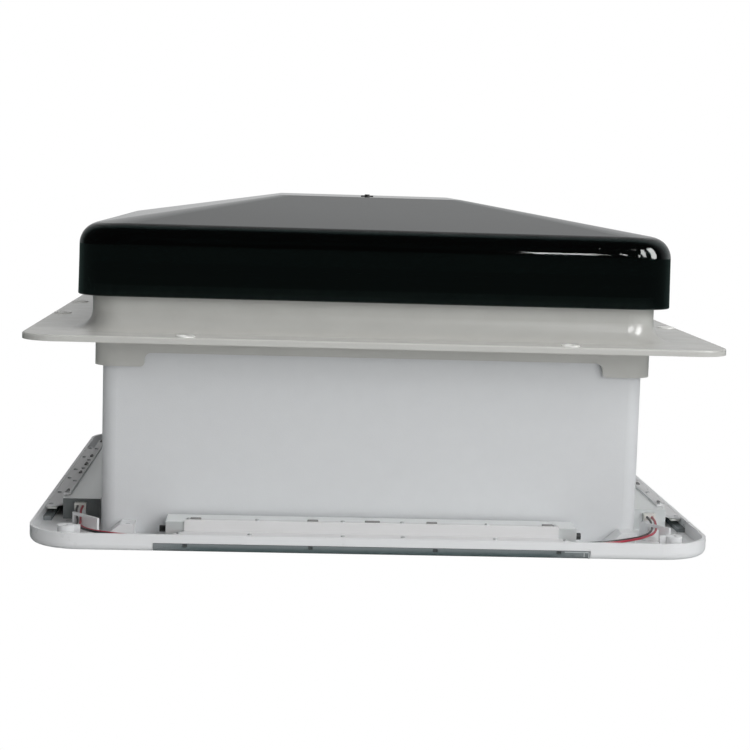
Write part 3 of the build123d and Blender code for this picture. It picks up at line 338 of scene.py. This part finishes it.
def new_piece(name, mesh, material, sharp=35.0):
    """Turn a finished bmesh into a smooth piece with crisp edges."""
    bmesh.ops.recalc_face_normals(mesh, faces=mesh.faces)
    data = bpy.data.meshes.new(name)
    mesh.to_mesh(data)
    mesh.free()
    data.materials.append(material)
    data.shade_smooth()
    data.set_sharp_from_angle(angle=radians(sharp))
    piece = bpy.data.objects.new(name, data)
    bpy.context.scene.collection.objects.link(piece)
    return piece


GRIP_LENGTH, GRIP_DEPTH, GRIP_HEIGHT = 0.120, 0.014, 0.024
GRIP_MIDDLE = Vector((0.0, -0.165, 0.161))
GRIP_ROUND = 0.0035
GRIP_CUTS, GRIP_CUT_PITCH = 13, 0.0041
FINGER_PITCH, FINGER_HOLLOW = 0.0275, 0.0022
grip_mesh = bmesh.new()
add_block(
    grip_mesh,
    Matrix.Translation(GRIP_MIDDLE)
    @ Matrix.Diagonal((GRIP_LENGTH, GRIP_DEPTH, GRIP_HEIGHT, 1.0)),
    GRIP_ROUND, 5,
)
for cut in range(-GRIP_CUTS, GRIP_CUTS + 1):
    bmesh.ops.bisect_plane(
        grip_mesh, geom=grip_mesh.verts[:] + grip_mesh.edges[:] + grip_mesh.faces[:],
        plane_co=(cut * GRIP_CUT_PITCH, 0.0, 0.0), plane_no=(1.0, 0.0, 0.0),
    )
for corner in grip_mesh.verts:
    low = max(0.0, (GRIP_MIDDLE.z - corner.co.z) / (GRIP_HEIGHT / 2))
    if abs(corner.co.x) < 2 * FINGER_PITCH:
        corner.co.z += low * FINGER_HOLLOW * (1 - cos(2 * pi * corner.co.x / FINGER_PITCH)) / 2
grip_rubber = finish(
    "grip_rubber", (0.03, 0.03, 0.033), (0.055, 0.055, 0.06), (0.55, 0.7), 3200.0, 0.3
)
grip = new_piece("bow_grip_sleeve", grip_mesh, grip_rubber)
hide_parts("bow_grip")
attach(grip, "bow")

# Hole lips: the burr of white ABS that the drill raises round each countersunk flange hole,
# scraped to a low, slightly uneven ring, and coloured paler than the frame as a painted
# highlight.
LIP_RADIUS, LIP_TUBE, LIP_RISE_SHARE, FLANGE_TOP = 0.0056, 0.0012, 0.8, 0.1495
LIP_STEPS, LIP_SIDES = 36, 10
HOLE_OUT, FRONT_HOLE, SIDE_HOLE = 0.238, 0.133, 0.060
LONG_BUMPS, LONG_BUMP_SHARE, SHORT_BUMPS, SHORT_BUMP_SHARE = 3, 0.16, 7, 0.08
lip_places = [(x, y) for x in (-FRONT_HOLE, FRONT_HOLE) for y in (-HOLE_OUT, HOLE_OUT)]
lip_places += [(x, y) for x in (-HOLE_OUT, HOLE_OUT) for y in (-SIDE_HOLE, SIDE_HOLE)]
lip_mesh = bmesh.new()
for hole, (hole_x, hole_y) in enumerate(lip_places):
    rings = []
    for step in range(LIP_STEPS):
        turn = 2 * pi * step / LIP_STEPS
        uneven = LONG_BUMP_SHARE * sin(LONG_BUMPS * turn + 1.7 * hole)
        uneven += SHORT_BUMP_SHARE * sin(SHORT_BUMPS * turn + hole)
        tube = LIP_TUBE * (1 + uneven)
        ring = []
        for tilt in (2 * pi * side_step / LIP_SIDES for side_step in range(LIP_SIDES)):
            reach = LIP_RADIUS + tube * cos(tilt)
            ring.append(lip_mesh.verts.new((
                hole_x + reach * cos(turn), hole_y + reach * sin(turn),
                FLANGE_TOP + LIP_RISE_SHARE * tube * sin(tilt),
            )))
        rings.append(ring)
    for ring, after in zip(rings, rings[1:] + rings[:1]):
        for side_step in range(LIP_SIDES):
            next_side = (side_step + 1) % LIP_SIDES
            lip_mesh.faces.new(
                (ring[side_step], ring[next_side], after[next_side], after[side_step])
            )
# Painted highlight: the lips are paler than the frame's own ABS.
lip_painted_highlight = finish(
    "lip_painted_highlight", (0.72, 0.72, 0.70), (0.84, 0.84, 0.82), (0.2, 0.35), 1600.0, 0.15
)
hole_lips = new_piece("flange_hole_lips", lip_mesh, lip_painted_highlight)
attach(hole_lips, "base")

# Duct and blind frame: satin white ABS, with the fine spark texture of their moulds.
duct_abs = finish(
    "duct_abs", (0.70, 0.715, 0.73), (0.735, 0.75, 0.765), (0.42, 0.52), 1300.0, 0.10,
    Specular_IOR_Level=0.35,
)
add_waves(duct_abs, 0.16, 0.04)
dress(duct_abs, "duct", "blind_frame")

# Ceiling frame: an injection moulded tray of brighter, glossier ABS, with the lead guides
# in the same plastic.
ceiling_abs = finish(
    "ceiling_abs", (0.79, 0.80, 0.81), (0.83, 0.84, 0.85), (0.24, 0.34), 1100.0, 0.05
)
add_waves(ceiling_abs, 0.10, 0.05)
dress(ceiling_abs, "ceiling_frame", "lead_guides")

# Light covers: thin satin white mouldings over the outer edge of each metal channel.
SIDE_TURNS = {"front": 0.0, "right": pi / 2, "rear": pi, "left": -pi / 2}
cover_abs = finish(
    "cover_abs", (0.72, 0.72, 0.725), (0.76, 0.76, 0.765), (0.34, 0.45), 1300.0, 0.06
)
add_waves(cover_abs, 0.05, 0.06)
dress(cover_abs, *("light_cover_" + side for side in SIDE_TURNS))

# Light channels: aluminium sheet folded to a square trough, left as it comes from the
# mill, with the rolling lines running along each channel. Their upward faces are paler
# as a painted reflection, and the left channel's front-facing end is darker as a painted
# shade.
PAINTED_REFLECTION_TOP, PAINTED_SHADE_END = (0.90, 0.92, 0.915), (0.13, 0.145, 0.145)
SHADE_FROM, SHADE_TO, SHADE_MOST = 0.6, 0.9, 0.9
ALONG_X, ALONG_Y = (0.05, 1.0, 1.0), (1.0, 0.05, 1.0)
for channel_sides, rolling, shades in (
    (("front", "rear"), ALONG_X, (("Z", 1, PAINTED_REFLECTION_TOP),)),
    (("right",), ALONG_Y, (("Z", 1, PAINTED_REFLECTION_TOP),)),
    (("left",), ALONG_Y, (("Z", 1, PAINTED_REFLECTION_TOP), ("Y", -1, PAINTED_SHADE_END))),
):
    channel_metal = finish(
        "channel_aluminium_" + channel_sides[0], (0.66, 0.69, 0.69), (0.76, 0.79, 0.79),
        (0.26, 0.40), 2200.0, 0.12, stretch=rolling, Metallic=0.3, Anisotropic=0.3,
    )
    channel_tree = channel_metal.node_tree
    shade = channel_tree.nodes["tint"]
    # Painted reflection on the faces that look up, painted shade on the left channel's front
    # end.
    for axis, sign, colour in shades:
        share = facing(channel_tree, axis, SHADE_FROM * sign, SHADE_TO * sign, SHADE_MOST)
        shade = mix_colours(channel_tree, share, shade.outputs["Result"], colour)
    channel_tree.links.new(
        shade.outputs["Result"], channel_tree.nodes["Principled BSDF"].inputs["Base Color"]
    )
    dress(channel_metal, *("light_channel_" + side for side in channel_sides))

# Lenses: grey-green acrylic strips that fill the windows in the frame's edge, with fine
# upright prisms moulded along their whole length to spread the light. They are paler
# along their upper edge and towards their ends.
PRISM_PITCH, PRISM_STRENGTH, PRISM_RISE = 0.0016, 0.10, 0.0002
PALE_FROM, PALE_TO, PALE_EDGE = 0.0026, 0.0056, 0.75
TIP_FROM, TIP_TO, PALE_TIP = 0.118, 0.148, 0.9
lens_acrylic = finish(
    "lens_acrylic", (0.13, 0.175, 0.18), (0.18, 0.235, 0.24), (0.16, 0.28), 700.0, 0.05,
    IOR=ACRYLIC_IOR, Transmission_Weight=0.25, Subsurface_Weight=0.15,
    Subsurface_Radius=(0.004, 0.004, 0.004),
)
lens_tree = lens_acrylic.node_tree
lens_place = add_node(lens_tree, "TexCoord")
lens_axes = add_node(lens_tree, "SeparateXYZ", lens_place.outputs["Object"])
lens_run = add_node(
    lens_tree, "Math", lens_axes.outputs["X"], lens_axes.outputs["Y"], operation="ADD"
)
lens_wave = add_node(
    lens_tree, "Math", lens_run.outputs["Value"],
    operation="MULTIPLY", second=2 * pi / PRISM_PITCH,
)
lens_prism = add_node(lens_tree, "Math", lens_wave.outputs["Value"], operation="SINE")
add_bump(
    lens_tree, lens_prism.outputs["Value"], PRISM_STRENGTH, PRISM_RISE,
    lens_tree.nodes["raised"],
)
lens_rise = add_node(
    lens_tree, "MapRange", lens_axes.outputs["Z"],
    From_Min=PALE_FROM, From_Max=PALE_TO, To_Max=PALE_EDGE,
)
lens_sides = [
    add_node(lens_tree, "Math", lens_axes.outputs[axis], operation="ABSOLUTE")
    for axis in ("X", "Y")
]
lens_near = add_node(
    lens_tree, "Math", *(side.outputs["Value"] for side in lens_sides), operation="MINIMUM"
)
lens_tip = add_node(
    lens_tree, "MapRange", lens_near.outputs["Value"],
    From_Min=TIP_FROM, From_Max=TIP_TO, To_Max=PALE_TIP,
)
lens_share = add_node(
    lens_tree, "Math", lens_rise.outputs["Result"], lens_tip.outputs["Result"],
    operation="MAXIMUM",
)
lens_pale = mix_colours(
    lens_tree, lens_share.outputs["Value"], lens_tree.nodes["tint"].outputs["Result"],
    (0.34, 0.37, 0.38),
)
lens_tree.links.new(
    lens_pale.outputs["Result"], lens_tree.nodes["Principled BSDF"].inputs["Base Color"]
)
dress(lens_acrylic, *("light_lens_" + side for side in SIDE_TURNS))

# Lens clips: four small dark catches along the top of each lens, chamfered and slotted.
LENS_FACE = 0.242
CLIP_PLACES = (-0.1305, -0.0435, 0.0435, 0.1305)
CLIP_SIZE = Vector((0.0032, 0.0010, 0.0023))
CLIP_ROUND, CLIP_SINK, CLIP_LEVEL = 0.0003, 0.0006, 0.00465
CLIP_SLOT_WALL, CLIP_SLOT_DEPTH = 0.0006, 0.0004


def side_turn(side):
    """The turn that takes a piece of the front side to another side of the vent."""
    return Matrix.Rotation(SIDE_TURNS[side], 4, "Z")


def copies(name, shape, places, material):
    """One piece made of many copies of a small mesh, each set by its own matrix."""
    joined = bmesh.new()
    for place in places:
        first = len(joined.verts)
        joined.from_mesh(shape)
        joined.verts.ensure_lookup_table()
        bmesh.ops.transform(joined, matrix=place, verts=joined.verts[first:])
    return new_piece(name, joined, material)


clip_mesh = bmesh.new()
add_block(clip_mesh, Matrix.Diagonal((*CLIP_SIZE, 1.0)), CLIP_ROUND, 2)
clip_front = max(clip_mesh.faces, key=lambda face: -face.calc_center_median().y)
bmesh.ops.inset_region(
    clip_mesh, faces=[clip_front], thickness=CLIP_SLOT_WALL, depth=-CLIP_SLOT_DEPTH
)
clip_shape = bpy.data.meshes.new("clip_shape")
clip_mesh.to_mesh(clip_shape)
clip_mesh.free()
clip_plastic = finish(
    "dark_clip", (0.05, 0.06, 0.06), (0.09, 0.10, 0.10), (0.4, 0.5), 2600.0, 0.1
)
lens_clips = copies(
    "lens_catches", clip_shape,
    [
        side_turn(side) @ Matrix.Translation((along, CLIP_SINK - LENS_FACE, CLIP_LEVEL))
        for side in SIDE_TURNS for along in CLIP_PLACES
    ],
    clip_plastic,
)
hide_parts("lens_clips")
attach(lens_clips, "base")

# Lens ends: a paler hooked end piece, clipped over the right-hand end of each lens.
END_PLACE, END_LENGTH, END_WALL, END_STAND = 0.1345, 0.0175, 0.0008, 0.0003
END_TOP, END_FOOT, END_ROUND = 0.0055, 0.0006, 0.0001
HOOK_WIDTH, HOOK_FOOT = 0.0042, 0.0019
HOOK_PLACE = END_LENGTH - HOOK_WIDTH
end_mesh = bmesh.new()
for bar_from, bar_to, bar_foot in (
    (0.0, END_LENGTH, END_TOP - END_WALL),
    (END_LENGTH - END_WALL, END_LENGTH, END_FOOT),
    (HOOK_PLACE, HOOK_PLACE + END_WALL, HOOK_FOOT),
):
    lower = Vector((bar_from, 0.0, bar_foot))
    upper = Vector((bar_to, END_STAND, END_TOP))
    add_block(
        end_mesh,
        Matrix.Translation((lower + upper) / 2) @ Matrix.Diagonal((*(upper - lower), 1.0)),
        END_ROUND, 2,
    )
end_shape = bpy.data.meshes.new("end_shape")
end_mesh.to_mesh(end_shape)
end_mesh.free()
end_acrylic = finish(
    "lens_end", (0.42, 0.45, 0.46), (0.50, 0.53, 0.54), (0.2, 0.3), 1500.0, 0.04
)
lens_ends = copies(
    "lens_end_hooks", end_shape,
    [
        side_turn(side) @ Matrix.Translation((END_PLACE, -LENS_FACE - END_STAND, 0.0))
        for side in SIDE_TURNS
    ],
    end_acrylic,
)
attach(lens_ends, "base")

# Slot inserts: dark pieces set in the slots of the covers' strips, a painted shade for the
# shadow inside each slot, each standing a little proud, with rounded ends and a groove
# along its middle.
STRIP_OUT, STRIP_TOP = 0.2249, 0.0202
INSERT_WIDTH, INSERT_RISE, INSERT_DEPTH, INSERT_ROUND = 0.0020, 0.0011, 0.0016, 0.0004
GROOVE_WALL, GROOVE_DEPTH = 0.0003, 0.0004
insert_places = {0.0106: (0.0,), 0.0076: (-0.124, -0.042, 0.042, 0.124)}
insert_mesh = bmesh.new()
for side in SIDE_TURNS:
    for insert_length, alongs in insert_places.items():
        for along in alongs:
            corners = add_block(
                insert_mesh,
                side_turn(side)
                @ Matrix.Translation(
                    (along, -STRIP_OUT, STRIP_TOP + (INSERT_RISE - INSERT_DEPTH) / 2)
                )
                @ Matrix.Diagonal(
                    (insert_length, INSERT_WIDTH, INSERT_RISE + INSERT_DEPTH, 1.0)
                ),
                INSERT_ROUND, 2,
            )
            crown = max(
                (face for face in insert_mesh.faces if face.verts[0] in corners),
                key=lambda face: face.calc_center_median().z,
            )
            bmesh.ops.inset_region(
                insert_mesh, faces=[crown], thickness=GROOVE_WALL, depth=-GROOVE_DEPTH
            )
# Painted shade: this dark colour stands for the shadow inside the slots.
slot_painted_shade = finish(
    "slot_painted_shade", (0.19, 0.19, 0.187), (0.26, 0.26, 0.255), (0.45, 0.6), 2600.0, 0.12
)
inserts = new_piece("cover_slot_shade_pieces", insert_mesh, slot_painted_shade)
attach(inserts, "base")

# Light boards: narrow circuit boards with white lacquer, screwed under the covers' ledges,
# with a row of square diodes whose yellow phosphor faces the lens.
board_white = finish(
    "board_white", (0.68, 0.70, 0.66), (0.76, 0.78, 0.74), (0.3, 0.42), 900.0, 0.05
)
dress(board_white, *("light_board_" + side for side in SIDE_TURNS))
diode_yellow = finish(
    "diode", (0.62, 0.50, 0.12), (0.78, 0.66, 0.22), (0.25, 0.4), 2400.0, 0.05
)
dress(diode_yellow, "light_diodes")

# Screws: zinc-plated pan heads with a cross recess. The small ones hold the covers, the
# larger ones the hinges, rails, brackets, duct and blind frame.
HEAD_TOP, HEAD_SHOULDER, HEAD_DOMING = 0.84, 0.42, 0.18
CROSS_HALF_WIDTH, CROSS_REACH, CROSS_DEPTH, CROSS_TAPER = 0.05, 0.5, 0.6, 0.8
FIRST_TURN, TURN_STEP = 0.3, 0.7


def screw_shape(name, head_radius, head_height, shank_radius, shank_length):
    """A pan-head screw on the Z axis, its seat at zero and its head above it."""
    screw = bmesh.new()
    bmesh.ops.create_grid(screw, x_segments=5, y_segments=5, size=1.0)
    for corner in screw.verts:
        x, y = corner.co.xy
        reach = Vector((x * (1 - y * y / 2) ** 0.5, y * (1 - x * x / 2) ** 0.5))
        crown = head_height * (1 - HEAD_DOMING * reach.length_squared)
        corner.co = (*(reach * head_radius * HEAD_TOP), crown)
    cross = [
        face for face in screw.faces
        if min(abs(face.calc_center_median().x), abs(face.calc_center_median().y))
        < head_radius * CROSS_HALF_WIDTH
        and face.calc_center_median().xy.length < head_radius * CROSS_REACH
    ]
    sunk = bmesh.ops.extrude_face_region(screw, geom=cross)
    bmesh.ops.delete(screw, geom=cross, context="FACES_ONLY")
    floor_corners = [part for part in sunk["geom"] if isinstance(part, bmesh.types.BMVert)]
    bmesh.ops.translate(screw, vec=(0, 0, -head_height * CROSS_DEPTH), verts=floor_corners)
    bmesh.ops.scale(screw, vec=(CROSS_TAPER, CROSS_TAPER, 1.0), verts=floor_corners)
    for radius, height in (
        (head_radius, head_height * HEAD_SHOULDER), (head_radius, 0.0),
        (shank_radius, 0.0), (shank_radius, -shank_length),
    ):
        rim = [edge for edge in screw.edges if edge.is_boundary]
        drawn = bmesh.ops.extrude_edge_only(screw, edges=rim)["geom"]
        for corner in drawn:
            if isinstance(corner, bmesh.types.BMVert):
                corner.co = (*(corner.co.xy.normalized() * radius), height)
    bmesh.ops.contextual_create(screw, geom=[edge for edge in screw.edges if edge.is_boundary])
    shape = bpy.data.meshes.new(name)
    screw.to_mesh(shape)
    screw.free()
    return shape


def screw_places(points, out):
    """Matrices that set screws at points, heads outwards, each turned a little."""
    way = Vector(out).to_track_quat("Z", "X").to_matrix().to_4x4()
    return [
        Matrix.Translation(point) @ way @ Matrix.Rotation(TURN_STEP * index + FIRST_TURN, 4, "Z")
        for index, point in enumerate(points)
    ]


screw_zinc = finish(
    "screw_zinc", (0.42, 0.43, 0.44), (0.62, 0.63, 0.64), (0.24, 0.42), 2800.0, 0.1,
    Metallic=1.0,
)
small_screw = screw_shape("small_screw", 0.0016, 0.0009, 0.0008, 0.0024)
plate_screw = screw_shape("plate_screw", 0.0030, 0.0018, 0.0015, 0.0036)
LEDGE_OUT, LEDGE_TOP = 0.2360, 0.0120
HINGE_OUT, HINGE_SCREW_OUT = 0.085, 0.011
cover_places = [
    side_turn(side) @ place
    for side in SIDE_TURNS
    for alongs, out_place, height in (
        ((0.021, 0.081, 0.129), STRIP_OUT, STRIP_TOP),
        ((0.021, 0.086, 0.1355), LEDGE_OUT, LEDGE_TOP),
    )
    for place in screw_places(
        [(x * hand, -out_place, height) for hand in (-1, 1) for x in alongs], (0, 0, 1)
    )
]
hinge_alongs = [x * HINGE_OUT + y * HINGE_SCREW_OUT for x in (-1, 1) for y in (-1, 1)]
rail_places = [
    place for hand in (-1, 1)
    for place in screw_places(
        [(hand * 0.196, y, 0.1765) for y in (-0.160, -0.057)], (-hand, 0, 0)
    )
]
duct_places = [
    side_turn(side) @ place for side in SIDE_TURNS
    for place in screw_places([(x, -0.1915, 0.1345) for x in (-0.175, 0.175)], (0, 1, 0))
]
for node, body, shape, places in (
    ("cover_screws", "base", small_screw, cover_places),
    (
        "hinge_base_screws", "base", plate_screw,
        screw_places([(x, 0.231, 0.152) for x in hinge_alongs], (0, 0, 1)),
    ),
    (
        "leaf_screws", "dome", plate_screw,
        screw_places([(x, 0.2148, 0.183) for x in hinge_alongs], (0, 1, 0)),
    ),
    (
        "bracket_screws", "dome", plate_screw,
        screw_places(
            [(x, y, 0.1928) for x in (-0.1835, 0.1835) for y in (0.0165, 0.0385)], (0, 0, -1)
        ),
    ),
    ("rail_screws", "base", plate_screw, rail_places),
    ("duct_screws", "base", plate_screw, duct_places),
    (
        "blind_frame_screws", "base", plate_screw,
        screw_places(
            [(x, y, 0.026) for x in (-0.181, 0.181) for y in (-0.150, 0.150)], (0, 0, 1)
        ),
    ),
):
    screws = copies(node + "_cross_head", shape, places, screw_zinc)
    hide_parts(node)
    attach(screws, body)

# Lead plugs and sleeves: two-pin plugs of natural nylon in the side channels, and black
# shrunk sleeves at the ends of the front and rear channels.
plug_nylon = finish(
    "plug_nylon", (0.72, 0.72, 0.68), (0.80, 0.80, 0.76), (0.3, 0.42), 1800.0, 0.06
)
dress(plug_nylon, "lead_plugs")
sleeve_black = finish(
    "black_sleeve", (0.012, 0.012, 0.012), (0.03, 0.03, 0.03), (0.4, 0.55), 1600.0, 0.15
)
dress(sleeve_black, "lead_sleeves")

# Leads: thin flexible wire in smooth red and black insulation, between a plug and the end
# of a board.
for lead_colour, lead_dark, lead_light in (
    ("red", (0.36, 0.012, 0.035), (0.50, 0.025, 0.055)),
    ("black", (0.010, 0.010, 0.010), (0.028, 0.026, 0.026)),
):
    lead_skin = finish(
        "lead_" + lead_colour, lead_dark, lead_light, (0.28, 0.4), 2400.0, 0.05,
        Coat_Weight=0.2,
    )
    dress(lead_skin, *(name for name in nodes if name.startswith("lead_" + lead_colour)))

# Pull bars: white extrusions in satin ABS that draw the screen and the blind.
bar_abs = finish(
    "bar_abs", (0.66, 0.665, 0.67), (0.72, 0.725, 0.73), (0.32, 0.44), 1500.0, 0.07
)
dress(bar_abs, "flyscreen_bar", "blackout_bar")

# Flyscreen and blackout blind: pleated cloths gathered in their pockets, each fixed to the
# blind frame at one end and to its pull bar at the other. The screen is a woven mesh.
PLEATS = 30
CLOTH_WIDTH = 0.3404
CLOTH_THICKNESS = 0.00015
FOLD_RISE = 0.0064
FIXED_END, BAR_END = 0.1866, 0.1602
ACROSS_CELLS = 30
WEAVE_STRENGTH, WEAVE_RISE = 0.5, 0.0002


def woven(name, dark, light, pitch, gap=None):
    """Cloth of two thread directions, on the flat cloth's own map; a gap opens it up."""
    material = finish(name, dark, light, (0.7, 0.85), 1200.0, 0.1, Sheen_Weight=0.2)
    tree = material.node_tree
    flat = add_node(tree, "UVMap")
    ways = add_node(tree, "SeparateXYZ", flat.outputs["UV"])
    threads = []
    for way in ("X", "Y"):
        count = add_node(
            tree, "Math", ways.outputs[way], operation="MULTIPLY", second=2 * pi / pitch
        )
        threads.append(add_node(tree, "Math", count.outputs["Value"], operation="SINE"))
    crown = add_node(
        tree, "Math", *(thread.outputs["Value"] for thread in threads), operation="MAXIMUM"
    )
    add_bump(
        tree, crown.outputs["Value"], WEAVE_STRENGTH, WEAVE_RISE, tree.nodes["raised"]
    )
    if gap is not None:
        solid = add_node(
            tree, "Math", crown.outputs["Value"], operation="GREATER_THAN", second=gap
        )
        tree.links.new(
            solid.outputs["Value"], tree.nodes["Principled BSDF"].inputs["Alpha"]
        )
    return material


for node, slot, body, end, level, cloth_finish in (
    (
        "flyscreen", "screen_fabric", "screen_bar", 1, 0.0196,
        woven("screen_mesh", (0.03, 0.03, 0.033), (0.06, 0.06, 0.065), 0.0014, gap=0.35),
    ),
    (
        "blackout_blind", "blackout_fabric", "blind_bar", -1, 0.0094,
        woven("blackout_cloth", (0.44, 0.45, 0.46), (0.52, 0.53, 0.54), 0.0006),
    ),
):
    cloth = bmesh.new()
    folds = 2 * PLEATS
    bmesh.ops.create_grid(cloth, x_segments=ACROSS_CELLS, y_segments=folds, size=0.5)
    flat_map = cloth.loops.layers.uv.new("flat")
    fold_step = (FIXED_END - BAR_END) / folds
    leg = (fold_step ** 2 + FOLD_RISE ** 2) ** 0.5
    for face in cloth.faces:
        for loop in face.loops:
            across, along = loop.vert.co.x, loop.vert.co.y + 0.5
            loop[flat_map].uv = (across * CLOTH_WIDTH, along * leg * folds)
    for corner in cloth.verts:
        fold = round((corner.co.y + 0.5) * folds)
        rise = FOLD_RISE / 2 * (1 if fold % 2 else -1)
        corner.co = (
            corner.co.x * CLOTH_WIDTH, end * (BAR_END + fold * fold_step), level + rise
        )
    cloth_data = bpy.data.meshes.new(node + "_cloth")
    cloth.to_mesh(cloth_data)
    cloth.free()
    cloth_data.materials.append(cloth_finish)
    cloth_piece = bpy.data.objects.new(node + "_cloth", cloth_data)
    bpy.context.scene.collection.objects.link(cloth_piece)
    thick = cloth_piece.modifiers.new("thickness", "SOLIDIFY")
    thick.thickness = CLOTH_THICKNESS
    thick.offset = 0.0
    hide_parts(node)
    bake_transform(cloth_piece)
